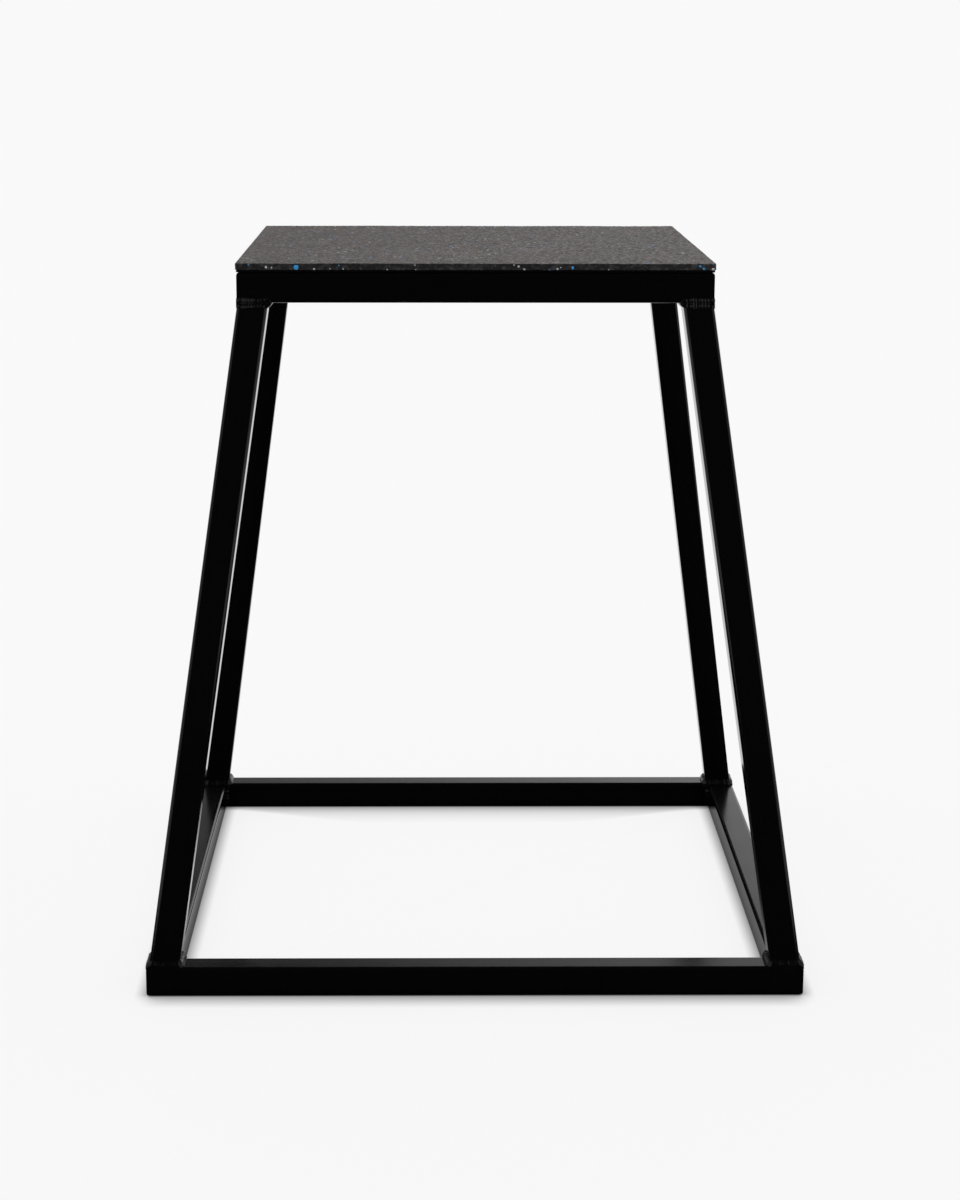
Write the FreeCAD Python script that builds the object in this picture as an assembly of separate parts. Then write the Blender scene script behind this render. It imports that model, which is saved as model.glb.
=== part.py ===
import FreeCAD, Part
import math
import os

from FreeCAD import Vector

# Steel plyo box with a rubber top: two square frames of mitred tube, joined by four splayed legs.
# Millimetres, +Z up, origin on the floor under the middle of the box. The front faces -Y.

# Overall form
box_height = 609.6  # floor to the top of the mat
base_side = 555.5  # outer side of the square base frame
top_side = 395.0  # outer side of the square top frame

# Tube of both frames and of the brace
rail_tube = 25.4
rail_wall = 2.0
rail_radius = 3.0  # outer corner of the tube
rail_bore_radius = 1.0  # inner corner of the tube

# Tube of the legs
leg_tube = 25.4
leg_wall = 2.0
leg_radius = 3.0
leg_bore_radius = 1.0
leg_foot_inset = 2.5  # outer face of the base frame to the leg's outer face
leg_head_inset = 0.5  # outer face of the top frame to the leg's outer face

# Deck
deck_thickness = 2.0
mat_thickness = 5.2
mat_overhang = 1.0  # past the deck plate, on each side
mat_edge_radius = 0.8
mat_corner_radius = 1.5

# Weld beads. A fillet round a leg runs out along the frame and rises along the leg.
foot_weld_run = 4.0
foot_weld_rise = 5.0
head_weld_run = 3.5
head_weld_rise = 4.0
corner_bead = 3.0
brace_bead = 3.0
stitch_bead = 2.0
stitch_length = 30.0
stitches_per_half_rail = 1
bead_clearance = 0.3  # from the end of an upright bead to the tube's rounded edge, or to another bead there

# Levels, from the floor up
foot_level = rail_tube
mat_bottom = box_height - mat_thickness
deck_bottom = mat_bottom - deck_thickness
head_level = deck_bottom - rail_tube

# Centre line of the front right leg, where it stands on the base frame and where it meets the top frame
foot_offset = base_side / 2 - leg_foot_inset - leg_tube / 2
head_offset = top_side / 2 - leg_head_inset - leg_tube / 2
foot_centre = Vector(foot_offset, -foot_offset, foot_level)
head_centre = Vector(head_offset, -head_offset, head_level)
leg_axis = head_centre - foot_centre

up = Vector(0, 0, 1)
origin = Vector(0, 0, 0)

# Quarter turns about the box's axis that carry the front rail and the front right leg round to the others
rail_turns = {"front": 0, "right": 90, "rear": 180, "left": 270}
leg_turns = {"front_right": 0, "rear_right": 90, "rear_left": 180, "front_left": 270}


def turned(shape, degrees):
    copy = shape.copy()
    copy.rotate(origin, up, degrees)
    return copy


def rounded_square(side, radius):
    # Outline in the XY plane, centred on the origin: four sides joined by tangent arcs
    half = side / 2
    flat = half - radius
    middle = flat + radius * math.sqrt(0.5)
    edges = []
    for quarter in range(4):
        turn = FreeCAD.Rotation(up, 90 * quarter)
        low = turn.multVec(Vector(half, -flat, 0))
        high = turn.multVec(Vector(half, flat, 0))
        bend = turn.multVec(Vector(middle, middle, 0))
        after = turn.multVec(Vector(flat, half, 0))
        edges.append(Part.LineSegment(low, high).toShape())
        edges.append(Part.Arc(high, bend, after).toShape())
    return Part.Wire(edges)


def bar(side, radius, length):
    return Part.Face(rounded_square(side, radius)).extrude(up * length)


def tube(side, radius, wall, bore_radius, length):
    return bar(side, radius, length).cut(bar(side - 2 * wall, bore_radius, length))


def rail_stock(length):
    return tube(rail_tube, rail_radius, rail_wall, rail_bore_radius, length)


def rail_outside(length):
    return bar(rail_tube, rail_radius, length)


def leg_stock(length):
    return tube(leg_tube, leg_radius, leg_wall, leg_bore_radius, length)


def leg_outside(length):
    return bar(leg_tube, leg_radius, length)


def along_x(stock, length, y, level):
    # Stock of one length, laid along X about the middle of the box, with its underside at the level
    laid = stock(length)
    laid.rotate(origin, Vector(0, 1, 0), 90)
    laid.translate(Vector(-length / 2, y, level + rail_tube / 2))
    return laid


def front_rail(stock, frame_side, level):
    # Cut at both ends to the 45 degree mitres of its frame
    outer = frame_side / 2
    inner = outer - rail_tube
    plan = [(-outer, -outer), (outer, -outer), (inner, -inner), (-inner, -inner), (-outer, -outer)]
    outline = Part.makePolygon([Vector(x, y, level) for x, y in plan])
    mitres = Part.Face(outline).extrude(up * rail_tube)
    return along_x(stock, frame_side, rail_tube / 2 - outer, level).common(mitres)


def along_leg(stock):
    # Stock on the front right leg's axis, one tube size over length at each end.
    # A diagonal of its section lies in the upright plane through the corner of the box.
    lean = FreeCAD.Rotation(up, leg_axis)
    spare = lean.multVec(up * leg_tube)
    laid = stock(leg_axis.Length + 2 * leg_tube)
    laid.Placement = FreeCAD.Placement(foot_centre - spare, lean)
    return laid


def slab(side, low, high):
    return Part.makeBox(side, side, high - low, Vector(-side / 2, -side / 2, low))


def front_right_leg():
    # Both ends are cut level, so the splayed tube sits flat on the base frame and under the top frame
    return along_leg(leg_stock).common(slab(base_side, foot_level, head_level))


def weld_ring(frame_side, frame_level, meeting_level, run, rise):
    # Flat-faced fillet round the front right leg where it meets a frame: a diamond section, carried round
    # the leg's outline and cut back to the tubes. It is dressed flush with the outer faces of the frame.
    leg = along_leg(leg_outside)
    corners = [vertex.Point for vertex in leg.slice(up, meeting_level)[0].OrderedVertexes]
    start = (corners[-1] + corners[0]) / 2
    path = Part.makePolygon([start] + corners + [start])
    out = (corners[0] - start).cross(up).normalize() * run
    rises = up * rise
    section = Part.makePolygon([start + out, start + rises, start - out, start - rises, start + out])
    ring = path.makePipeShell([section], True, False, 1)
    front = front_rail(rail_outside, frame_side, frame_level)
    ring = ring.cut([leg, front, turned(front, rail_turns["right"])])
    return ring.common(slab(frame_side, meeting_level - rail_tube, meeting_level + rail_tube))


def upright_weld(x, y, level, bead, bead_below, bead_above):
    # Quarter-round bead up the flat of a rail, short of the tube's edges and of the beads that lie there.
    # It tapers off at each end over its own leg length.
    start = Vector(x, y, level + max(rail_radius, bead_below) + bead_clearance)
    end = Vector(x, y, level + rail_tube - max(rail_radius, bead_above) - bead_clearance)
    along = up * bead
    out = Vector(0, bead, 0)
    profile = Part.makePolygon([start, start + along + out, end - along + out, end, start])
    return Part.Face(profile).revolve(start, up, 90)


def base_corner_weld():
    # In the inner corner of the front and right rails
    inner = base_side / 2 - rail_tube
    return upright_weld(inner, -inner, 0.0, corner_bead, 0.0, foot_weld_rise)


def top_corner_weld():
    inner = top_side / 2 - rail_tube
    return upright_weld(inner, -inner, head_level, corner_bead, head_weld_rise, stitch_bead)


def brace_weld():
    # On the rear side of the brace, at its right end
    inner = top_side / 2 - rail_tube
    return upright_weld(inner, rail_tube / 2, head_level, brace_bead, 0.0, stitch_bead)


def stitch_welds():
    # Beads that fill the groove between the front rail's inner edge and the plate, clear of the brace's line
    rail = front_rail(rail_outside, top_side, head_level)
    under_plate = slab(top_side, head_level, deck_bottom)
    inner = top_side / 2 - rail_tube
    near_end = rail_tube / 2
    pitch = (inner - near_end) / stitches_per_half_rail
    stitches = []
    for half in (-1, 1):
        for place in range(stitches_per_half_rail):
            middle = half * (near_end + pitch * (place + 0.5))
            start = Vector(middle - stitch_length / 2, -inner, deck_bottom)
            stitch = Part.makeCylinder(stitch_bead, stitch_length, start, Vector(1, 0, 0))
            stitches.append(stitch.common(under_plate).cut(rail))
    return stitches


def deck_plate():
    return slab(top_side, deck_bottom, mat_bottom)


def top_mat():
    # Cut sheet with eased corners and a softened upper edge
    side = top_side + 2 * mat_overhang
    sheet = bar(side, mat_corner_radius, mat_thickness)
    sheet.translate(up * mat_bottom)
    upper = max(sheet.Faces, key=lambda face: face.CenterOfMass.z)
    return sheet.makeFillet(mat_edge_radius, upper.Edges)


def all_round(shapes, turns):
    return [turned(shape, degrees) for shape in shapes for degrees in turns.values()]


def nodes():
    made = {}
    for frame, side, level in (("base", base_side, 0.0), ("top", top_side, head_level)):
        rail = front_rail(rail_stock, side, level)
        for place, degrees in rail_turns.items():
            made[f"{frame}_{place}_rail"] = turned(rail, degrees)

    leg = front_right_leg()
    for place, degrees in leg_turns.items():
        made[f"{place}_leg"] = turned(leg, degrees)

    made["deck_brace"] = along_x(rail_stock, top_side - 2 * rail_tube, 0.0, head_level)
    made["deck_plate"] = deck_plate()
    made["top_mat"] = top_mat()

    foot_ring = weld_ring(base_side, 0.0, foot_level, foot_weld_run, foot_weld_rise)
    head_ring = weld_ring(top_side, head_level, head_level, head_weld_run, head_weld_rise)
    brace_side = brace_weld()
    brace_pair = [brace_side, brace_side.mirror(origin, Vector(0, 1, 0))]
    welds = {
        "leg_foot_welds": all_round([foot_ring], leg_turns),
        "leg_head_welds": all_round([head_ring], leg_turns),
        "base_corner_welds": all_round([base_corner_weld()], leg_turns),
        "top_corner_welds": all_round([top_corner_weld()], leg_turns),
        "brace_welds": brace_pair + [turned(bead, 180) for bead in brace_pair],
        "deck_stitch_welds": all_round(stitch_welds(), rail_turns),
    }
    for name, beads in welds.items():
        made[name] = Part.makeCompound(beads)
    return made


os.makedirs("parts", exist_ok=True)
for node, shape in nodes().items():
    shape.exportStep(f"parts/{node}.step")
    print(f"{node}: {len(shape.Solids)} solid(s), {shape.Volume / 1000:.2f} cm3")
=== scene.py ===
import math
from functools import partial
import bpy
import numpy as np
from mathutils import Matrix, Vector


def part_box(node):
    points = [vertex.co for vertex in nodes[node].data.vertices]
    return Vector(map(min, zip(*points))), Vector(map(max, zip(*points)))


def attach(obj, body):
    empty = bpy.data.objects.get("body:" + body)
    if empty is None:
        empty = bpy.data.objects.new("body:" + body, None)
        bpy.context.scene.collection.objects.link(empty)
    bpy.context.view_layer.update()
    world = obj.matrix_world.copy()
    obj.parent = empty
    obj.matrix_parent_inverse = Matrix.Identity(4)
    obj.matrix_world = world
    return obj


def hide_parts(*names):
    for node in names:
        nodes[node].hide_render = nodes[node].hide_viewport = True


# Looks of the steel plyo box: satin black tube, rippled welds and a crumb-rubber mat.
# Metres, +Z up, origin on the floor under the middle of the box. The front faces -Y.

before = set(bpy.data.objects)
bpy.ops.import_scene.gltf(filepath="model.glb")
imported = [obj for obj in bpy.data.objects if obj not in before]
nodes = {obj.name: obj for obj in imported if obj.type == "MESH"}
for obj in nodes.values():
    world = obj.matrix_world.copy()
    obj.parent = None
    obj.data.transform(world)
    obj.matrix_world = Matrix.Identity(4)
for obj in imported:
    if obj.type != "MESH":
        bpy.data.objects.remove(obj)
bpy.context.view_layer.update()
print("frame loaded:", len(nodes), "nodes")

noiseMean = 0.5  # a noise texture swings about this
noiseBand = 0.35  # how loosely a soft noise keeps to its wavelength
tiny = 1e-12  # keeps a division from zero


# corner numbers of the quads between neighbouring points of a grid that is counted row by row
def gridQuads(rows, cols, closeRows=False, closeCols=False):
    row, col = np.meshgrid(np.arange(rows if closeRows else rows - 1),
                           np.arange(cols if closeCols else cols - 1), indexing="ij")
    nextRow, nextCol = (row + 1) % rows, (col + 1) % cols
    return np.stack([row * cols + col, row * cols + nextCol,
                     nextRow * cols + nextCol, nextRow * cols + col], -1).reshape(-1, 4)


# new piece at the origin, smooth shaded, riding on the one body
def addPiece(name, points, faces, material, slot, *stoodFor):
    mesh = bpy.data.meshes.new(name)
    mesh.from_pydata(points.tolist(), [], faces)
    mesh.polygons.foreach_set("use_smooth", np.ones(len(mesh.polygons), bool))
    mesh.materials.append(material)
    mesh.validate()
    mesh.update()
    piece = bpy.data.objects.new(name, mesh)
    bpy.context.scene.collection.objects.link(piece)
    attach(piece, "root")
    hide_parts(*stoodFor)
    print("piece", name, len(mesh.vertices), "points", len(mesh.polygons), "faces")


# smooth random field on a square grid: white noise kept only near one wavelength, spread of 1
def softNoise(shape, step, wavelength, seed):
    white = np.random.default_rng(seed).normal(size=shape)
    downFreq = np.fft.fftfreq(shape[0], step)[:, None]
    acrossFreq = np.fft.rfftfreq(shape[1], step)[None, :]
    ratio = np.hypot(acrossFreq, downFreq) * wavelength
    field = np.fft.irfft2(np.fft.rfft2(white) * np.exp(-((ratio - 1.0) ** 2) / noiseBand), shape)
    return field / field.std()


# smooth random values along a line: white noise that fades out above a number of cycles, spread of 1.
# The ends meet, so it also fits a closed line.
def lineNoise(count, cycles, seed):
    white = np.random.default_rng(seed).normal(size=count)
    freq = np.fft.rfftfreq(count, 1.0 / count)
    field = np.fft.irfft(np.fft.rfft(white) * np.exp(-(freq / cycles) ** 2), count)
    return field / field.std()


# shader group: inputs by name with their start values, or None for a point, and outputs that are numbers
def newGroup(name, inputs, outputs):
    group = bpy.data.node_groups.new(name, "ShaderNodeTree")
    for label, value in inputs.items():
        kind = "NodeSocketVector" if value is None else "NodeSocketFloat"
        socket = group.interface.new_socket(label, in_out="INPUT", socket_type=kind)
        if value is not None:
            socket.default_value = value
    for label in outputs:
        group.interface.new_socket(label, in_out="OUTPUT", socket_type="NodeSocketFloat")
    return group, group.nodes.new("NodeGroupInput"), group.nodes.new("NodeGroupOutput")


# node with its settings and its inputs, each a value or a socket; i0, i1 and so on are inputs by number
def addNode(tree, kind, settings=None, **values):
    node = tree.nodes.new(kind)
    for key, value in (settings or {}).items():
        setattr(node, key, value)
    for key, value in values.items():
        numbered = key[0] == "i" and key[1:].isdigit()
        socket = node.inputs[int(key[1:]) if numbered else key]
        if isinstance(value, bpy.types.NodeSocket):
            tree.links.new(value, socket)
        else:
            socket.default_value = value
    return node


def mathOf(tree, operation, first, second=0.0, third=0.0, clamp=False):
    settings = {"operation": operation, "use_clamp": clamp}
    return addNode(tree, "ShaderNodeMath", settings, i0=first, i1=second, i2=third).outputs[0]


def productOf(tree, first, *others):
    for other in others:
        first = mathOf(tree, "MULTIPLY", first, other)
    return first


# value eased from one range to another, level before the first range and after it
def eased(tree, value, low, high, toLow=0.0, toHigh=1.0):
    settings = {"interpolation_type": "SMOOTHSTEP"}
    node = addNode(tree, "ShaderNodeMapRange", settings, i0=value, i1=low, i2=high, i3=toLow, i4=toHigh)
    return node.outputs[0]


def fadeOut(tree, value, low, high):
    return eased(tree, value, low, high, 1.0, 0.0)


def mixColour(tree, factor, first, second, blend="MIX"):
    settings = {"data_type": "RGBA", "blend_type": blend}
    return addNode(tree, "ShaderNodeMix", settings, i0=factor, i6=first, i7=second).outputs[2]


def mixFloat(tree, factor, first, second):
    return addNode(tree, "ShaderNodeMix", {"data_type": "FLOAT"}, i0=factor, i2=first, i3=second).outputs[0]


def noiseOf(tree, point, scale, detail, roughness=0.5):
    node = addNode(tree, "ShaderNodeTexNoise", Vector=point, Scale=scale, Detail=detail, Roughness=roughness)
    return node.outputs["Fac"]


def partsOf(tree, vector):
    return addNode(tree, "ShaderNodeSeparateXYZ", Vector=vector).outputs


# material with its tree, its shader and the point on the piece that its textures start from
def newMaterial(name):
    material = bpy.data.materials.new(name)
    material.use_nodes = True
    tree = material.node_tree
    point = tree.nodes.new("ShaderNodeTexCoord").outputs["Object"]
    return material, tree, tree.nodes["Principled BSDF"], point


def dressShader(tree, shader, colour, rough, bump, ior):
    tree.links.new(colour, shader.inputs["Base Color"])
    tree.links.new(rough, shader.inputs["Roughness"])
    tree.links.new(bump.outputs["Normal"], shader.inputs["Normal"])
    shader.inputs["IOR"].default_value = ior


skinFinish = {
    "peelSize": 0.0016,
    "grainSize": 0.0004,
    "grainShare": 0.25,  # of the grain in the relief
    "mottleScale": 14.0,
}


# powder coat skin: orange peel with a finer grain on it, and a slow mottle, all from one point
def coatSkinGroup():
    sizes = {"Point": None, "Peel Size": skinFinish["peelSize"], "Grain Size": skinFinish["grainSize"]}
    group, given, made = newGroup("coatSkin", sizes, ["Height", "Mottle"])
    point = given.outputs["Point"]
    peelScale = mathOf(group, "DIVIDE", 1.0, given.outputs["Peel Size"])
    grainScale = mathOf(group, "DIVIDE", 1.0, given.outputs["Grain Size"])
    peel = noiseOf(group, point, peelScale, detail=1.0, roughness=0.4)
    grain = noiseOf(group, point, grainScale, detail=1.0, roughness=0.5)
    mottle = noiseOf(group, point, skinFinish["mottleScale"], detail=3.0, roughness=0.55)
    height = mathOf(group, "MULTIPLY_ADD", grain, skinFinish["grainShare"], peel)
    group.links.new(height, made.inputs["Height"])
    group.links.new(mottle, made.inputs["Mottle"])
    return group


wearFinish = {
    "facingUp": (0.55, 0.98),  # rise of the normal from where dust starts to lie to where it lies fully
    "moteScale": 160.0,
    "moteRange": (0.42, 0.72),  # from bare to dusty
    "kickLevels": (0.0005, 0.006),  # height over which the scuffs thin out
    "kickShares": (1.0, 0.04),  # of the scuffs, below and above
    "streak": (35.0, 35.0, 420.0),  # scale each way, so that scuffs run level
    "streakScale": 4.0,
    "scuffRange": (0.58, 0.74),  # from whole to scuffed
}


# dust and scuffs: dust lies on what faces up, scuffs near the floor and thinly along the tubes
def wearGroup():
    shares = {"Point": None, "Dust": 0.5, "Scuff": 0.5}
    group, given, made = newGroup("wear", shares, ["Dust Mask", "Scuff Mask", "Facing Up"])
    point = given.outputs["Point"]
    normal = addNode(group, "ShaderNodeNewGeometry").outputs["Normal"]
    facing = eased(group, partsOf(group, normal)["Z"], *wearFinish["facingUp"])
    motes = noiseOf(group, point, wearFinish["moteScale"], detail=5.0, roughness=0.7)
    drift = eased(group, motes, *wearFinish["moteRange"])
    dust = productOf(group, facing, drift, given.outputs["Dust"])
    low = eased(group, partsOf(group, point)["Z"], *wearFinish["kickLevels"], *wearFinish["kickShares"])
    streaks = addNode(group, "ShaderNodeMapping", Vector=point, Scale=wearFinish["streak"]).outputs["Vector"]
    scrapes = noiseOf(group, streaks, wearFinish["streakScale"], detail=4.0, roughness=0.65)
    marks = eased(group, scrapes, *wearFinish["scuffRange"])
    scuff = productOf(group, low, marks, given.outputs["Scuff"])
    group.links.new(dust, made.inputs["Dust Mask"])
    group.links.new(scuff, made.inputs["Scuff Mask"])
    group.links.new(facing, made.inputs["Facing Up"])
    return group


coatSkin = coatSkinGroup()
wear = wearGroup()

# each coat: colour, roughness, size and height of its orange peel, shares of dust and scuffs, and how much
# the film on what faces up dulls it
coatFinish = {
    "tubeCoat": {"colour": (0.0012, 0.0012, 0.0013, 1.0), "roughness": 0.085, "peel": 0.0018,
                 "bump": 0.000012, "dust": 0.2, "scuff": 0.5, "film": 0.12},
    "plateCoat": {"colour": (0.0012, 0.0012, 0.0013, 1.0), "roughness": 0.20, "peel": 0.0022,
                  "bump": 0.00004, "dust": 0.2, "scuff": 0.2, "film": 0.12},
    "weldCoat": {"colour": (0.0014, 0.0014, 0.0015, 1.0), "roughness": 0.12, "peel": 0.0011,
                 "bump": 0.00001, "dust": 0.5, "scuff": 0.2, "film": 0.05},
    "ior": 1.36,
    "mottleRange": (0.3, 0.7),
    "mottleGloss": (-0.02, 0.03),  # change of roughness over that range
    "dustColour": (0.012, 0.0115, 0.011, 1.0),
    "scuffColour": (0.022, 0.022, 0.023, 1.0),
    "scuffRoughness": 0.25,
}


# satin black coat: the skin moves its gloss and relief, dust and scuffs lighten it a little
def coatMaterial(name):
    spec = coatFinish[name]
    material, tree, shader, point = newMaterial(name)
    skin = addNode(tree, "ShaderNodeGroup", {"node_tree": coatSkin},
                   **{"Point": point, "Peel Size": spec["peel"]}).outputs
    worn = addNode(tree, "ShaderNodeGroup", {"node_tree": wear},
                   Point=point, Dust=spec["dust"], Scuff=spec["scuff"]).outputs
    dusty = mixColour(tree, worn["Dust Mask"], spec["colour"], coatFinish["dustColour"])
    colour = mixColour(tree, worn["Scuff Mask"], dusty, coatFinish["scuffColour"])
    shiny, dull = (spec["roughness"] + change for change in coatFinish["mottleGloss"])
    rough = eased(tree, skin["Mottle"], *coatFinish["mottleRange"], shiny, dull)
    rough = mathOf(tree, "MULTIPLY_ADD", worn["Facing Up"], spec["film"], rough)
    rough = mathOf(tree, "MULTIPLY_ADD", worn["Scuff Mask"], coatFinish["scuffRoughness"], rough, clamp=True)
    bump = addNode(tree, "ShaderNodeBump", Strength=1.0, Distance=spec["bump"], Height=skin["Height"])
    dressShader(tree, shader, colour, rough, bump, coatFinish["ior"])
    return material


tubeCoat = coatMaterial("tubeCoat")
plateCoat = coatMaterial("plateCoat")
weldCoat = coatMaterial("weldCoat")
print("coats ready")

rubberFinish = {
    "granule": 0.0024,  # size of the black crumbs
    "warp": (0.0012, 0.0012, 0.0012),  # how far their outlines wander
    "warpScale": 700.0,
    "grainScale": 900.0,
    "grainTone": 0.5,  # share of the grain in a crumb's tone
    "crumbTone": 0.6,  # share of the crumb's own draw in it
    "toneRange": (0.45, 0.90),  # from dark to light
    "seam": (0.02, 0.12),  # distance from a crumb's edge, in crumbs
    "seamShare": 0.75,  # of binder in the seams
    "patchScale": 26.0,
    "patchRange": (0.3, 0.7),
    "patchShare": 0.14,  # of light rubber in the palest patches
    "dark": (0.009, 0.0081, 0.0077, 1.0),
    "light": (0.150, 0.132, 0.123, 1.0),
    "binder": (0.006, 0.0055, 0.0053, 1.0),
    # painted shade: the sides that don't face up are darkened to this share of the crumbs' colour
    "paintedSideShade": (0.28, 0.29, 0.31, 1.0),  # what the cut sides keep of the colour
    "fleck": 0.0062,  # spacing of the coloured crumbs
    "fleckSize": (0.10, 0.29),  # in spacings
    "fleckRim": (0.85, 1.0),  # where its colour fades, in shares of its size
    "wobbleScale": 900.0,
    "blueAbove": 0.88,  # a cell's draw, from 0 to 1, that gives a blue crumb
    "paleBelow": 0.25,  # and one that gives a pale crumb
    "blue": (0.014, 0.270, 0.620, 1.0),
    "pale": (0.42, 0.44, 0.47, 1.0),
    "roughness": 0.58,
    "roughnessSpread": 0.2,
    "ior": 1.45,
    "sheen": 0.15,
    "sheenRoughness": 0.45,
    "sheenTint": (1.0, 0.90, 0.85, 1.0),
    "seamRelief": -0.7,
    "grainRelief": 0.6,
    "bump": 0.0008,
    "bumpStrength": 0.8,
    # crumbs of colour in the front side: place along it, height below the mat's top, radius, colour
    "edgeFlecks": [(-0.1727, 0.0030, 0.0010, "pale"), (-0.1682, 0.0034, 0.0008, "pale"),
                   (-0.1480, 0.0030, 0.0021, "blue"), (-0.1331, 0.0044, 0.0008, "pale"),
                   (-0.1199, 0.0042, 0.0006, "pale"), (-0.1092, 0.0044, 0.0006, "pale"),
                   (-0.0730, 0.0050, 0.0006, "pale"), (-0.0500, 0.0012, 0.0006, "pale"),
                   (-0.0495, 0.0050, 0.0005, "pale"), (0.0315, 0.0011, 0.0006, "pale"),
                   (0.0352, 0.0022, 0.0009, "pale"), (0.0400, 0.0045, 0.0008, "pale"),
                   (0.0674, 0.0042, 0.0009, "pale"), (0.0700, 0.0032, 0.0006, "pale"),
                   (0.0798, 0.0032, 0.0012, "blue"), (0.1095, 0.0050, 0.0006, "pale"),
                   (0.1850, 0.0020, 0.0010, "blue"), (0.1879, 0.0040, 0.0009, "blue"),
                   (0.1958, 0.0044, 0.0011, "pale")],
}


# black crumbs: each cell draws its own tone, with grain on it, binder in the seams and paler patches.
# Gives the colour, the relief and another draw of each crumb.
def blackCrumbs(tree, point, wandered):
    spec = rubberFinish
    scale = 1.0 / spec["granule"]
    cells = addNode(tree, "ShaderNodeTexVoronoi", Vector=wandered, Scale=scale)
    edges = addNode(tree, "ShaderNodeTexVoronoi", {"feature": "DISTANCE_TO_EDGE"},
                    Vector=wandered, Scale=scale)
    drawn = addNode(tree, "ShaderNodeSeparateColor", Color=cells.outputs["Color"]).outputs
    grain = noiseOf(tree, point, spec["grainScale"], detail=4.0, roughness=0.65)
    own = mathOf(tree, "MULTIPLY", drawn["Red"], spec["crumbTone"])
    tone = mathOf(tree, "MULTIPLY_ADD", grain, spec["grainTone"], own)
    seams = eased(tree, edges.outputs["Distance"], *spec["seam"], spec["seamShare"], 0.0)
    patches = noiseOf(tree, point, spec["patchScale"], detail=4.0, roughness=0.6)
    paler = eased(tree, patches, *spec["patchRange"], 0.0, spec["patchShare"])
    colour = mixColour(tree, eased(tree, tone, *spec["toneRange"]), spec["dark"], spec["light"])
    colour = mixColour(tree, seams, colour, spec["binder"])
    colour = mixColour(tree, paler, colour, spec["light"])
    grainHeight = mathOf(tree, "MULTIPLY", grain, spec["grainRelief"])
    relief = mathOf(tree, "MULTIPLY_ADD", seams, spec["seamRelief"], grainHeight)
    return colour, relief, drawn["Blue"]


# coloured crumbs strewn through the rubber: some cells of a wide pattern hold a blue or a pale one
def strewnFlecks(tree, wandered, colour):
    spec = rubberFinish
    cells = addNode(tree, "ShaderNodeTexVoronoi", Vector=wandered, Scale=1.0 / spec["fleck"])
    drawn = addNode(tree, "ShaderNodeSeparateColor", Color=cells.outputs["Color"]).outputs
    size = eased(tree, drawn["Green"], 0.0, 1.0, *spec["fleckSize"])
    away = mathOf(tree, "DIVIDE", cells.outputs["Distance"], size)
    inside = fadeOut(tree, away, *spec["fleckRim"])
    blue = productOf(tree, inside, mathOf(tree, "GREATER_THAN", drawn["Red"], spec["blueAbove"]))
    pale = productOf(tree, inside, mathOf(tree, "LESS_THAN", drawn["Red"], spec["paleBelow"]))
    colour = mixColour(tree, blue, colour, spec["blue"])
    return mixColour(tree, pale, colour, spec["pale"])


# one crumb of colour: what lies within a wobbly distance of its centre
def crumbGroup():
    start = {"Point": None, "Centre": None, "Radius": 0.001, "Wobble": noiseMean}
    group, given, made = newGroup("crumb", start, ["Mask"])
    away = addNode(group, "ShaderNodeVectorMath", {"operation": "DISTANCE"}, i0=given.outputs["Point"],
                   i1=given.outputs["Centre"]).outputs["Value"]
    swing = mathOf(group, "ADD", given.outputs["Wobble"], 1.0 - noiseMean)
    reach = mathOf(group, "MULTIPLY", given.outputs["Radius"], swing)
    mask = fadeOut(group, mathOf(group, "DIVIDE", away, reach), *rubberFinish["fleckRim"])
    group.links.new(mask, made.inputs["Mask"])
    return group


# coloured crumbs set one by one into the front side
def frontFlecks(tree, point, colour):
    crumb = crumbGroup()
    wobble = noiseOf(tree, point, rubberFinish["wobbleScale"], detail=2.0)
    front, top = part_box("top_mat")[0].y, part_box("top_mat")[1].z
    for x, below, radius, kind in rubberFinish["edgeFlecks"]:
        spot = addNode(tree, "ShaderNodeGroup", {"node_tree": crumb}, Point=point,
                       Centre=(x, front, top - below), Radius=radius, Wobble=wobble)
        colour = mixColour(tree, spot.outputs["Mask"], colour, rubberFinish[kind])
    return colour


# crumb rubber: black crumbs with wandering outlines, painted shade on the sides that don't face up, and
# crumbs of colour
def rubberMaterial():
    spec = rubberFinish
    material, tree, shader, point = newMaterial("matRubber")
    warp = addNode(tree, "ShaderNodeTexNoise", Vector=point, Scale=spec["warpScale"], Detail=2.0)
    wandered = addNode(tree, "ShaderNodeVectorMath", {"operation": "MULTIPLY_ADD"},
                       i0=warp.outputs["Color"], i1=spec["warp"], i2=point).outputs["Vector"]
    ground, relief, draw = blackCrumbs(tree, point, wandered)
    # painted shade: the sides are darkened, and what faces up keeps the crumbs' colour
    sideShaded = mixColour(tree, 1.0, ground, spec["paintedSideShade"], "MULTIPLY")
    facing = addNode(tree, "ShaderNodeGroup", {"node_tree": wear}, Point=point).outputs["Facing Up"]
    colour = mixColour(tree, facing, sideShaded, ground)
    colour = strewnFlecks(tree, wandered, colour)
    colour = frontFlecks(tree, point, colour)
    rough = eased(tree, draw, 0.0, 1.0, spec["roughness"] - spec["roughnessSpread"],
                  spec["roughness"] + spec["roughnessSpread"])
    bump = addNode(tree, "ShaderNodeBump", Strength=spec["bumpStrength"], Distance=spec["bump"],
                   Height=relief)
    dressShader(tree, shader, colour, rough, bump, spec["ior"])
    shader.inputs["Sheen Weight"].default_value = spec["sheen"]
    shader.inputs["Sheen Roughness"].default_value = spec["sheenRoughness"]
    shader.inputs["Sheen Tint"].default_value = spec["sheenTint"]
    return material


matRubber = rubberMaterial()
print("rubber ready")

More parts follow.
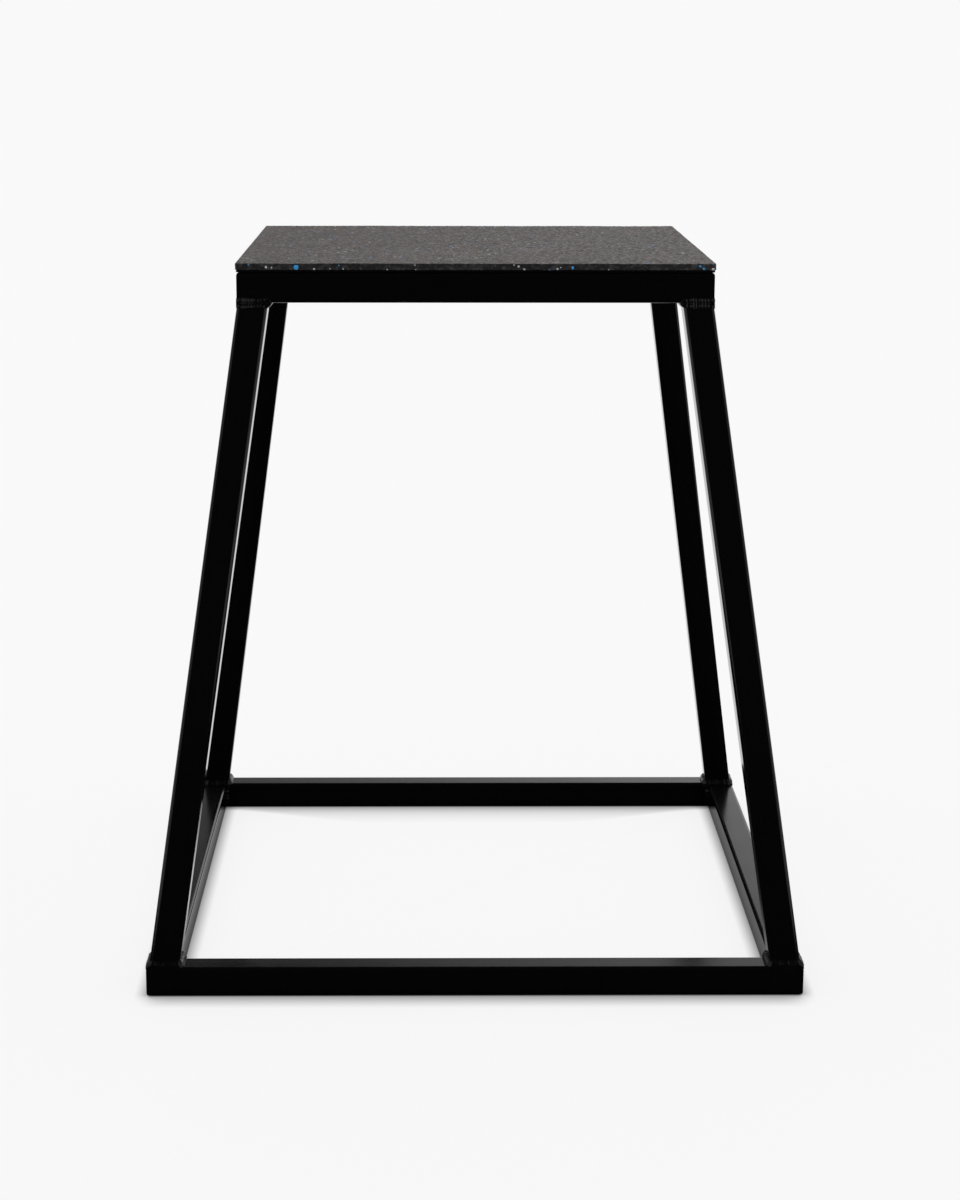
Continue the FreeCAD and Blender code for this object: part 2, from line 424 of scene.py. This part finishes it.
matSpec = {
    "cells": 286,  # squares along each side of the top
    "edgeRadius": 0.0008,
    "edgeTurns": (30.0, 60.0, 90.0),  # degrees round the upper edge
    "cornerRadius": 0.0018,
    "crumbHeight": 0.00010,
    "crumbLength": 0.0034,  # one crumb to the next
    "swellHeight": 0.00010,
    "swellLength": 0.12,
    "reliefLimit": 0.0003,
    "sideRows": 5,
    "cutHeight": 0.00010,
    "cutLength": 0.0030,  # one torn crumb to the next
    "wanderHeight": 0.00012,
    "wanderCycles": 60,  # of the cut line, all round the mat
    "cutGrowth": (0.2, 1.0),  # share of the raggedness at the upper edge and at the bottom
    "seed": 24,
}


# square grid with rounded corners: in each corner the square's rings become arcs
def roundCorners(x, y, flat):
    outX, outY = x - np.clip(x, -flat, flat), y - np.clip(y, -flat, flat)
    reach = np.maximum(np.hypot(outX, outY), tiny)
    inCorner = np.minimum(abs(outX), abs(outY)) > 0
    pull = np.where(inCorner, np.maximum(abs(outX), abs(outY)) / reach, 1.0)
    return np.clip(x, -flat, flat) + outX * pull, np.clip(y, -flat, flat) + outY * pull


# top of the sheet: a grid with rounded corners, raised by crumbs on a slow swell
def matTop(line, step, flat, level):
    spec = matSpec
    shape = (len(line), len(line))
    x, y = roundCorners(*np.meshgrid(line, line), flat)
    relief = spec["crumbHeight"] * softNoise(shape, step, spec["crumbLength"], spec["seed"])
    relief += spec["swellHeight"] * softNoise(shape, step, spec["swellLength"], spec["seed"] + 1)
    z = level + np.minimum(relief, spec["reliefLimit"])
    return np.stack([x, y, z], -1).reshape(-1, 3)


# side of the sheet: the rim carried round the upper edge and straight down, out along the outline's normal,
# less a raggedness that grows downwards
def matSide(rim, step, flat, bottom):
    spec = matSpec
    out = rim[:, :2] - np.clip(rim[:, :2], -flat, flat)
    out /= np.linalg.norm(out, axis=1)[:, None]
    turn = np.radians(spec["edgeTurns"])
    drop = np.linspace(0.0, 1.0, spec["sideRows"] + 1)[1:]
    lean = np.concatenate([np.sin(turn), np.ones(len(drop))]) * spec["edgeRadius"]
    ragged = softNoise((len(lean), len(rim)), step, spec["cutLength"], spec["seed"] + 2) * spec["cutHeight"]
    ragged += lineNoise(len(rim), spec["wanderCycles"], spec["seed"] + 3)[None, :] * spec["wanderHeight"]
    ragged *= np.linspace(*spec["cutGrowth"], len(lean))[:, None]
    xy = rim[None, :, :2] + out[None] * (lean[:, None, None] - abs(ragged[:, :, None]))
    rimZ = rim[None, :, 2]
    edgeZ = rimZ - (spec["edgeRadius"] * (1 - np.cos(turn)))[:, None]
    wallZ = (rimZ - spec["edgeRadius"]) * (1 - drop[:, None]) + bottom * drop[:, None]
    return np.concatenate([xy, np.concatenate([edgeZ, wallZ])[:, :, None]], -1)


# square sheet: the top, its side all round and one flat face below
def topMat():
    low, high = (np.array(corner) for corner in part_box("top_mat"))
    inner = (high[0] - low[0]) / 2 - matSpec["edgeRadius"]
    flat = inner - (matSpec["cornerRadius"] - matSpec["edgeRadius"])
    count = matSpec["cells"] + 1
    line = np.linspace(-inner, inner, count)
    step = line[1] - line[0]
    top = matTop(line, step, flat, high[2])
    number = np.arange(count * count).reshape(count, count)
    loop = np.concatenate([number[0, :-1], number[:-1, -1], number[-1, :0:-1], number[:0:-1, 0]])
    side = matSide(top[loop], step, flat, low[2])
    sideNumber = len(top) + np.arange(side.shape[0] * len(loop)).reshape(-1, len(loop))
    rings = np.concatenate([loop[None], sideNumber])
    strip = gridQuads(len(rings), len(loop), closeCols=True)
    faces = gridQuads(count, count).tolist() + rings.reshape(-1)[strip][:, ::-1].tolist()
    faces.append(rings[-1][::-1].tolist())
    points = np.concatenate([top, side.reshape(-1, 3)])
    addPiece("crumb_rubber_mat", points, faces, matRubber, "mat_rubber", "top_mat")


topMat()

legSpec = {"side": 0.0254, "radius": 0.0030, "footInset": 0.0025, "headInset": 0.0005}
weldSpec = {
    # rings: out along the frame, along the leg, and past the frame's outer faces
    "foot": {"run": 0.0040, "rise": 0.0052, "proud": 0.0003},
    "head": {"run": 0.0036, "rise": 0.0042, "proud": 0.0004},
    "dressed": 0.35,  # share of proud that is left between the ripples
    "ringUneven": 0.05,
    "ringCycles": 14,
    # straight beads: leg lengths, and how far an upright one stops short of what lies at the tube's ends
    "corner": 0.0030,
    "brace": 0.0030,
    "stitch": 0.0021,
    "stitchLength": 0.030,
    "stopAtEdge": 0.0033,  # the tube's rounded edge
    "stopAtFoot": 0.0053,  # the ring round a leg's foot
    "stopAtHead": 0.0043,  # the ring round a leg's head
    "beadUneven": 0.04,
    "beadCycles": 5,
    "leastTaper": 0.05,  # size of a bead at its very end
    "fewestPuddles": 3,
    # section and ripples
    "fullness": 1.45,  # 1 is a flat face, 2 a round one
    "around": 30,  # points round a section
    "perRipple": 8,  # sections to a ripple
    "ripple": 0.0026,  # one puddle to the next
    "rippleHeight": 0.00018,
    "lead": 0.45,  # of the middle of the face, in puddles
    "stray": 0.12,  # of the puddles from even places, in puddles
    "strayLength": 3,  # puddles over which that changes
    "swell": 0.25,  # unevenness of their height
    "swellLength": 2,
    # seeds, apart by more than a bead's own draws
    "seedPerTurn": 100,
    "seedPerBead": 10,
}
frameLevels = {
    "foot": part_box("base_front_rail")[1].z,
    "head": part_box("top_front_rail")[0].z,
    "deck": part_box("top_front_rail")[1].z,
}
frameHalves = {"foot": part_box("base_front_rail")[1].x, "head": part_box("top_front_rail")[1].x}
tubeSide = frameLevels["foot"]
baseInner = frameHalves["foot"] - tubeSide
topInner = frameHalves["head"] - tubeSide
leftward, rearward, downward = (-1, 0, 0), (0, 1, 0), (0, 0, -1)


# outline of a rounded square as points at even steps: along a side, then round its corner arc, four times
def roundedOutline(side, radius, count):
    flat, arc = side - 2 * radius, radius * math.pi / 2
    travel = np.arange(count) / count * 4 * (flat + arc)
    quarter, rest = np.divmod(travel, flat + arc)
    bend = np.clip(rest - flat, 0, None) / radius
    along = np.minimum(rest, flat) - flat / 2 + radius * np.sin(bend)
    out = flat / 2 + radius * np.cos(bend)
    angle = quarter * math.pi / 2
    x = out * np.cos(angle) - along * np.sin(angle)
    y = out * np.sin(angle) + along * np.cos(angle)
    return np.stack([x, y], -1)


# front right leg's outline where a level plane cuts the leaning tube, and its way up per unit of height.
# The square outline is turned about the level axis of the lean, then slid along the leg to the plane.
def legOutline(level, count):
    corner = np.array([1.0, -1.0])
    foot = corner * (frameHalves["foot"] - legSpec["footInset"] - legSpec["side"] / 2)
    head = corner * (frameHalves["head"] - legSpec["headInset"] - legSpec["side"] / 2)
    height = frameLevels["head"] - frameLevels["foot"]
    axis = np.append(head - foot, height)
    axis /= np.linalg.norm(axis)
    tilt = np.array([-axis[1], axis[0], 0.0]) / np.hypot(axis[0], axis[1])
    swing = math.acos(axis[2])
    square = roundedOutline(legSpec["side"], legSpec["radius"], count)
    square = np.concatenate([square, np.zeros((count, 1))], 1)
    leaned = (square * math.cos(swing) + np.cross(tilt, square) * math.sin(swing)
              + (square @ tilt)[:, None] * tilt * (1 - math.cos(swing)))
    share = (level - frameLevels["foot"]) / height
    centre = np.append(foot + (head - foot) * share, level)
    return centre + leaned - (leaned[:, 2] / axis[2])[:, None] * axis, axis / axis[2]


# height of the ripples: over each puddle the mean of a parabola and a cosine swell, as the coat half fills
# the valleys, bowed so that the middle of the face leads
def ripples(length, count, facing, seed):
    spec = weldSpec
    puddles = length / spec["ripple"]
    stray = spec["stray"] * lineNoise(count, puddles / spec["strayLength"], seed)
    travel = np.arange(count) / count * puddles + stray
    phase = (travel[:, None] + spec["lead"] * facing[None, :]) % 1.0
    swell = 1.0 + spec["swell"] * lineNoise(count, puddles / spec["swellLength"], seed + 1)
    parabola = 1 - (2 * phase - 1) ** 2
    cosine = 0.5 - 0.5 * np.cos(2 * math.pi * phase)
    return (parabola + cosine) / 2 * swell[:, None]


# superellipse section of size 1: its points along two ways, and how near each is to the middle of a face
def beadSection():
    angle = np.arange(weldSpec["around"]) / weldSpec["around"] * 2 * math.pi
    power = 2.0 / weldSpec["fullness"]
    across = np.sign(np.cos(angle)) * abs(np.cos(angle)) ** power
    upward = np.sign(np.sin(angle)) * abs(np.sin(angle)) ** power
    return across, upward, abs(np.sin(2 * angle))


# weld ring: the section carried round a leg's outline, out along its normal and away from the frame along the
# leg, rippled, and dressed back to just proud of the frame's outer faces. It closes, so it has no caps.
def weldRing(end, seed):
    spec = weldSpec[end]
    length = 4 * legSpec["side"]
    count = int(length / weldSpec["ripple"]) * weldSpec["perRipple"]
    path, rise = legOutline(frameLevels[end], count)
    along = np.roll(path, -1, 0) - np.roll(path, 1, 0)
    out = np.stack([along[:, 1], -along[:, 0], np.zeros(count)], -1)
    out /= np.linalg.norm(out, axis=1)[:, None]
    across, upward, facing = beadSection()
    wave = ripples(length, count, facing, seed)
    uneven = weldSpec["ringUneven"] * lineNoise(count, weldSpec["ringCycles"], seed + 2)
    grow = 1 + weldSpec["rippleHeight"] / spec["run"] * wave + uneven[:, None]
    away = 1.0 if end == "foot" else -1.0
    lift = np.where((upward > 0)[:, None], rise * away, np.array([0.0, 0.0, away]))
    points = (path[:, None, :] + out[:, None, :] * (spec["run"] * across * grow)[:, :, None]
              + lift * (spec["rise"] * upward * grow)[:, :, None])
    limit = frameHalves[end] + spec["proud"] * (weldSpec["dressed"] + (1 - weldSpec["dressed"]) * wave)
    points[:, :, 0] = np.minimum(points[:, :, 0], limit)
    points[:, :, 1] = np.maximum(points[:, :, 1], -limit)
    quads = gridQuads(count, weldSpec["around"], closeRows=True, closeCols=True)
    noCaps = np.zeros((0, weldSpec["around"]), int)
    return points.reshape(-1, 3), quads[:, ::-1] if end == "foot" else quads, noCaps


# straight bead from start to end in the corner between two faces: the section along two ways, rippled,
# rounded off towards both ends and capped there
def straightBead(start, end, firstWay, secondWay, size, seed):
    start, end, firstWay, secondWay = (np.array(v, float) for v in (start, end, firstWay, secondWay))
    length = np.linalg.norm(end - start)
    puddles = max(int(length / weldSpec["ripple"]), weldSpec["fewestPuddles"])
    count = puddles * weldSpec["perRipple"]
    across, upward, facing = beadSection()
    travel = np.linspace(0.0, 1.0, count)
    fromEnd = np.clip(np.minimum(travel, 1 - travel) * length / size, 0.0, 1.0)
    taper = np.maximum(np.sqrt(1 - (1 - fromEnd) ** 2), weldSpec["leastTaper"])
    wave = ripples(length, count, facing, seed)
    uneven = weldSpec["beadUneven"] * lineNoise(count, weldSpec["beadCycles"], seed + 2)
    grow = size * taper[:, None] * (1 + weldSpec["rippleHeight"] / size * wave + uneven[:, None])
    path = start + (end - start) * travel[:, None]
    points = (path[:, None, :] + firstWay * (across * grow)[:, :, None]
              + secondWay * (upward * grow)[:, :, None])
    quads = gridQuads(count, weldSpec["around"], closeCols=True)
    ring = np.arange(weldSpec["around"])
    caps = np.stack([ring, ring[::-1] + (count - 1) * weldSpec["around"]])
    if np.dot(np.cross(firstWay, secondWay), end - start) > 0:
        return points.reshape(-1, 3), quads, caps[:, ::-1]
    return points.reshape(-1, 3), quads[:, ::-1], caps


# upright bead in the inner corner of the front and right rails
def cornerBead(inner, low, high):
    return partial(straightBead, (inner, -inner, low), (inner, -inner, high), leftward, rearward,
                   weldSpec["corner"])


# upright bead at the brace's right end, on its rear side (1) or its front side (-1)
def braceBead(side):
    y = side * tubeSide / 2
    low = frameLevels["head"] + weldSpec["stopAtEdge"]
    high = frameLevels["deck"] - weldSpec["stopAtEdge"]
    return partial(straightBead, (topInner, y, low), (topInner, y, high), leftward, (0, side, 0),
                   weldSpec["brace"])


# level bead between the front rail's inner face and the plate
def stitchBead(middle):
    left, right = middle - weldSpec["stitchLength"] / 2, middle + weldSpec["stitchLength"] / 2
    level = frameLevels["deck"]
    return partial(straightBead, (left, -topInner, level), (right, -topInner, level), rearward, downward,
                   weldSpec["stitch"])


# copies of beads turned round the box, each from its own seed, as one piece
def weldPiece(name, makers, turns):
    points, faces, first = [], [], 0
    for place, degrees in enumerate(turns):
        angle = math.radians(degrees)
        turn = np.array([[math.cos(angle), -math.sin(angle), 0.0],
                         [math.sin(angle), math.cos(angle), 0.0],
                         [0.0, 0.0, 1.0]])
        for which, maker in enumerate(makers):
            seed = weldSpec["seedPerTurn"] * place + weldSpec["seedPerBead"] * which + len(name)
            bead, quads, caps = maker(seed)
            points.append(bead @ turn.T)
            faces += (quads + first).tolist() + (caps + first).tolist()
            first += len(bead)
    addPiece(name, np.concatenate(points), faces, weldCoat, "weld_coat", name.replace("rippled_", ""))


quarterTurns = (0, 90, 180, 270)
halfTurns = (0, 180)
baseCorner = cornerBead(baseInner, weldSpec["stopAtEdge"], frameLevels["foot"] - weldSpec["stopAtFoot"])
topCorner = cornerBead(topInner, frameLevels["head"] + weldSpec["stopAtHead"],
                       frameLevels["deck"] - weldSpec["stopAtEdge"])
stitchPlace = (topInner + tubeSide / 2) / 2  # halfway from the brace's line to the corner
weldPiece("rippled_leg_foot_welds", [partial(weldRing, "foot")], quarterTurns)
weldPiece("rippled_leg_head_welds", [partial(weldRing, "head")], quarterTurns)
weldPiece("rippled_base_corner_welds", [baseCorner], quarterTurns)
weldPiece("rippled_top_corner_welds", [topCorner], quarterTurns)
weldPiece("rippled_brace_welds", [braceBead(1), braceBead(-1)], halfTurns)
weldPiece("rippled_deck_stitch_welds", [stitchBead(-stitchPlace), stitchBead(stitchPlace)], quarterTurns)
print("welds ready")

solidFinish = {"mergeWithin": 0.00001, "creaseDegrees": 32, "flatWeight": 80}

# tubes and plate keep their solids: rounded edges shade smoothly, flats stay flat
for name, part in nodes.items():
    if part.hide_render:
        continue
    part.data.materials.clear()
    part.data.materials.append(plateCoat if name == "deck_plate" else tubeCoat)
    part.data.polygons.foreach_set("use_smooth", np.ones(len(part.data.polygons), bool))
    part.modifiers.new("join", "WELD").merge_threshold = solidFinish["mergeWithin"]
    part.modifiers.new("crease", "EDGE_SPLIT").split_angle = math.radians(solidFinish["creaseDegrees"])
    flats = part.modifiers.new("flats", "WEIGHTED_NORMAL")
    flats.keep_sharp = True
    flats.weight = solidFinish["flatWeight"]
print("tubes dressed")

floorSpec = {
    "half": 60.0,
    "level": -0.0003,
    "paper": 0.947,  # pale ground, also behind the box
    "roomShare": 0.12,  # of the floor's light that comes from the room, with the room's own shadows
}

# painted dark reflections: dark cards painted on the floor that only mirrors see; where each fades in or out
# across X or Y
mirrorShadeSpec = {
    "frontTo": (-0.2775, -0.2620),  # Y of the front card's rear edge
    "frontWidth": (0.26, 0.42),  # half its width, reckoned at the middle of the box
    "frontSplay": 0.25,  # how fast it widens towards the front
    "heading": (-0.05, 0.05),  # from rays that head to the rear to rays that head to the front
    "leftToRear": (-0.232, -0.215),  # X of the left edge under the box, for rays that head to the rear
    "leftToFront": (-0.262, -0.255),
    "rightToRear": (0.230, 0.265),
    "rightToFront": (0.255, 0.262),
    "underTo": (0.25, 0.27),  # Y of the rear edge under the box
    "stripFrom": (-0.262, -0.255),  # X of a half-dark strip along the left rail
    "stripTo": (-0.2405, -0.2375),
    "stripShare": 0.45,
    "outsideFrom": (0.262, 0.272),  # X out from either side of the box
    "outsideTo": (0.9, 1.6),
    "outsideRear": (0.5, 1.2),  # Y of the rear edge there
    "colour": (0.02, 0.02, 0.02, 1.0),
    "cover": 0.98,  # share of the paper's own light that a card takes
}

shadowSpec = {
    "sideReach": 0.012,  # how far the close shadow spreads
    "frontReach": 0.027,
    "rearReach": 0.055,
    "rearward": (0.0, 0.12),  # Y from the front's values to the rear's
    "cornerFrom": (-0.03, -0.10),  # X less Y where the side's reach starts to take over, in front and behind
    "cornerTo": 0.01,
    "samples": 16,
    "seenDepth": 1.4,
    "mirroredDepth": 3.0,
}


# painted dark reflections, seen by mirrored rays only: one in front of the box that widens towards the front,
# one under the box that is narrower for rays that head to the rear, a half-dark strip along the left rail,
# and one out to each side
def paintedMirrorShade(tree, x, y):
    spec = mirrorShadeSpec
    aside = mathOf(tree, "ABSOLUTE", x)
    splayed = mathOf(tree, "MULTIPLY_ADD", y, spec["frontSplay"], aside)
    inFront = productOf(tree, fadeOut(tree, y, *spec["frontTo"]), fadeOut(tree, splayed, *spec["frontWidth"]))
    incoming = tree.nodes.new("ShaderNodeNewGeometry").outputs["Incoming"]
    forward = eased(tree, partsOf(tree, incoming)["Y"], *spec["heading"])
    left = [mixFloat(tree, forward, *pair) for pair in zip(spec["leftToRear"], spec["leftToFront"])]
    right = [mixFloat(tree, forward, *pair) for pair in zip(spec["rightToRear"], spec["rightToFront"])]
    strip = productOf(tree, eased(tree, x, *spec["stripFrom"], 0.0, spec["stripShare"]),
                      fadeOut(tree, x, *spec["stripTo"]))
    fromLeft = mathOf(tree, "MAXIMUM", eased(tree, x, *left), strip)
    under = productOf(tree, fromLeft, fadeOut(tree, x, *right), fadeOut(tree, y, *spec["underTo"]))
    outside = productOf(tree, eased(tree, aside, *spec["outsideFrom"]),
                        fadeOut(tree, aside, *spec["outsideTo"]), fadeOut(tree, y, *spec["outsideRear"]))
    return mathOf(tree, "MAXIMUM", inFront, mathOf(tree, "MAXIMUM", under, outside))


# light left in the close shadow: how open the floor is within a reach, which differs at sides, front and rear
def floorShade(tree, x, y, mirrored):
    spec = shadowSpec
    beside = mathOf(tree, "SUBTRACT", mathOf(tree, "ABSOLUTE", x), mathOf(tree, "ABSOLUTE", y))
    reach = eased(tree, y, *spec["rearward"], spec["frontReach"], spec["rearReach"])
    corner = eased(tree, y, *spec["rearward"], *spec["cornerFrom"])
    reach = eased(tree, beside, corner, spec["cornerTo"], reach, spec["sideReach"])
    near = addNode(tree, "ShaderNodeAmbientOcclusion", {"samples": spec["samples"]}, Distance=reach)
    depth = eased(tree, mirrored, 0.0, 1.0, spec["seenDepth"], spec["mirroredDepth"])
    return mathOf(tree, "POWER", near.outputs["AO"], depth)


# pale floor: seen or mirrored it is mostly paper with its own light, shaded close to the tubes, and only a
# small share is lit by the room. The cards are painted dark reflections that show in mirrors alone, and from
# below the floor is clear.
def paleFloor():
    half, level = floorSpec["half"], floorSpec["level"]
    mesh = bpy.data.meshes.new("floor")
    corners = [(-half, -half, level), (half, -half, level), (half, half, level), (-half, half, level)]
    mesh.from_pydata(corners, [], [(0, 1, 2, 3)])
    floor = bpy.data.objects.new("floor", mesh)
    bpy.context.scene.collection.objects.link(floor)
    material, tree, shader, point = newMaterial("paleFloor")
    tree.nodes.remove(shader)
    place = partsOf(tree, point)
    ray = tree.nodes.new("ShaderNodeLightPath").outputs
    mirrored = ray["Is Glossy Ray"]
    # painted dark reflections: the cards darken the floor for mirrored rays only
    mirrorShade = productOf(tree, paintedMirrorShade(tree, place["X"], place["Y"]), mirrored)
    paper = (floorSpec["paper"],) * 3 + (1.0,)
    lit = addNode(tree, "ShaderNodeBsdfDiffuse", Color=mixColour(tree, mirrorShade, paper, mirrorShadeSpec["colour"]))
    shade = floorShade(tree, place["X"], place["Y"], mirrored)
    uncovered = mathOf(tree, "SUBTRACT", 1.0, mathOf(tree, "MULTIPLY", mirrorShade, mirrorShadeSpec["cover"]))
    seen = addNode(tree, "ShaderNodeEmission", Color=paper, Strength=productOf(tree, shade, uncovered))
    looked = mathOf(tree, "MAXIMUM", ray["Is Camera Ray"], mirrored)
    looked = mathOf(tree, "MAXIMUM", looked, ray["Is Transmission Ray"])
    share = mathOf(tree, "MULTIPLY", looked, 1.0 - floorSpec["roomShare"])
    above = addNode(tree, "ShaderNodeMixShader", i0=share, i1=lit.outputs[0], i2=seen.outputs[0])
    below = tree.nodes.new("ShaderNodeNewGeometry").outputs["Backfacing"]
    clear = tree.nodes.new("ShaderNodeBsdfTransparent")
    whole = addNode(tree, "ShaderNodeMixShader", i0=below, i1=above.outputs[0], i2=clear.outputs[0])
    tree.links.new(whole.outputs[0], tree.nodes["Material Output"].inputs["Surface"])
    mesh.materials.append(material)


# the room: levels of light, and the parts of a direction over which they change
roomSpec = {
    "dome": 1.36,
    "zenith": 0.2,
    "zenithFrom": (0.72, 0.95),  # Z
    "frontDim": 0.5,  # of the light from the front; the rear gains as much
    "frontToRear": (-0.9, 0.9),  # Y
    "front": 0.03,  # mirrored ahead and overhead
    "open": 0.55,  # mirrored out to both sides
    "openFrom": (0.32, 0.60),  # X, either way
    "rearFrom": (0.0, 0.3),  # Y
    "windowFrom": (-0.50, -0.30),  # X of the rear window's left edge
    "windowTop": (0.38, 0.55),  # Z
    "left": 0.0,  # in the window's left part
    "glow": 0.36,  # low down there, beside the middle
    "glowFrom": (-0.17, -0.10),  # X
    "glowTop": (0.29, 0.318),  # Z
    "right": 0.8,  # in the window's right part
    "rightFrom": (-0.09, 0.14),  # X
    "fallLevels": (0.27, 0.38),  # Z over which the window dims upwards
    "fall": (1.25, 0.55),
}


# light of the room: from all round, less from straight above and from the front
def roomLight(tree, y, z):
    spec = roomSpec
    dome = eased(tree, z, *spec["zenithFrom"], spec["dome"], spec["zenith"])
    tilt = eased(tree, y, *spec["frontToRear"], spec["frontDim"], 2.0 - spec["frontDim"])
    return mathOf(tree, "MULTIPLY", dome, tilt)


# what the coat mirrors of the room: a dark front and overhead, open sides, and in the rear a window that is
# dark on the left but for a low glow beside the middle, and bright on the right, most of all low down
def roomMirror(tree, x, y, z):
    spec = roomSpec
    aside = eased(tree, mathOf(tree, "ABSOLUTE", x), *spec["openFrom"])
    ahead = mixFloat(tree, aside, spec["front"], spec["open"])
    glowing = productOf(tree, fadeOut(tree, z, *spec["glowTop"]), eased(tree, x, *spec["glowFrom"]))
    left = mixFloat(tree, glowing, spec["left"], spec["glow"])
    across = eased(tree, x, *spec["rightFrom"], left, spec["right"])
    across = mathOf(tree, "MULTIPLY", across, eased(tree, z, *spec["fallLevels"], *spec["fall"]))
    window = productOf(tree, eased(tree, x, *spec["windowFrom"]), fadeOut(tree, z, *spec["windowTop"]))
    behind = mixFloat(tree, window, ahead, across)
    return mixFloat(tree, eased(tree, y, *spec["rearFrom"]), ahead, behind)


# soft room: the camera sees plain paper, the coat sees the mirrored room, all else is lit by its light
def softRoom():
    world = bpy.data.worlds.new("softRoom")
    bpy.context.scene.world = world
    world.use_nodes = True
    tree = world.node_tree
    ground = tree.nodes["Background"]
    ground.inputs["Color"].default_value = (1.0, 1.0, 1.0, 1.0)
    way = partsOf(tree, tree.nodes.new("ShaderNodeTexCoord").outputs["Generated"])
    ray = tree.nodes.new("ShaderNodeLightPath").outputs
    light = roomLight(tree, way["Y"], way["Z"])
    mirrored = roomMirror(tree, way["X"], way["Y"], way["Z"])
    level = mixFloat(tree, ray["Is Glossy Ray"], light, mirrored)
    level = mixFloat(tree, ray["Is Camera Ray"], level, floorSpec["paper"])
    tree.links.new(level, ground.inputs["Strength"])


# view fitted to the photograph: nearly level left to right, a long lens, from a little above the mat
cameraSpec = {
    "place": (-0.0338, -2.2910, 0.8032),
    "pitch": 0.22436,
    "yaw": 0.009,
    "roll": -0.0015,
    "pictureSize": (960, 1200),
    "focalPixels": 2530.8,
    "middleX": 458.0,  # pixel that the lens points at
    "sensor": 36.0,  # millimetres along the picture's longer side
    "farthest": 200.0,
}


def photoCamera():
    spec = cameraSpec
    wide, tall = spec["pictureSize"]
    lens = bpy.data.cameras.new("photoCamera")
    lens.sensor_width = spec["sensor"]
    lens.sensor_fit = "AUTO"
    lens.lens = spec["focalPixels"] / tall * lens.sensor_width
    lens.shift_x = (wide / 2 - spec["middleX"]) / tall
    lens.clip_end = spec["farthest"]
    camera = bpy.data.objects.new("photoCamera", lens)
    camera.location = spec["place"]
    camera.rotation_euler = (math.pi / 2 - spec["pitch"], spec["roll"], -spec["yaw"])
    bpy.context.scene.collection.objects.link(camera)
    bpy.context.scene.camera = camera


paleFloor()
softRoom()
photoCamera()
bpy.context.scene.view_settings.view_transform = "Standard"
print("stage ready")
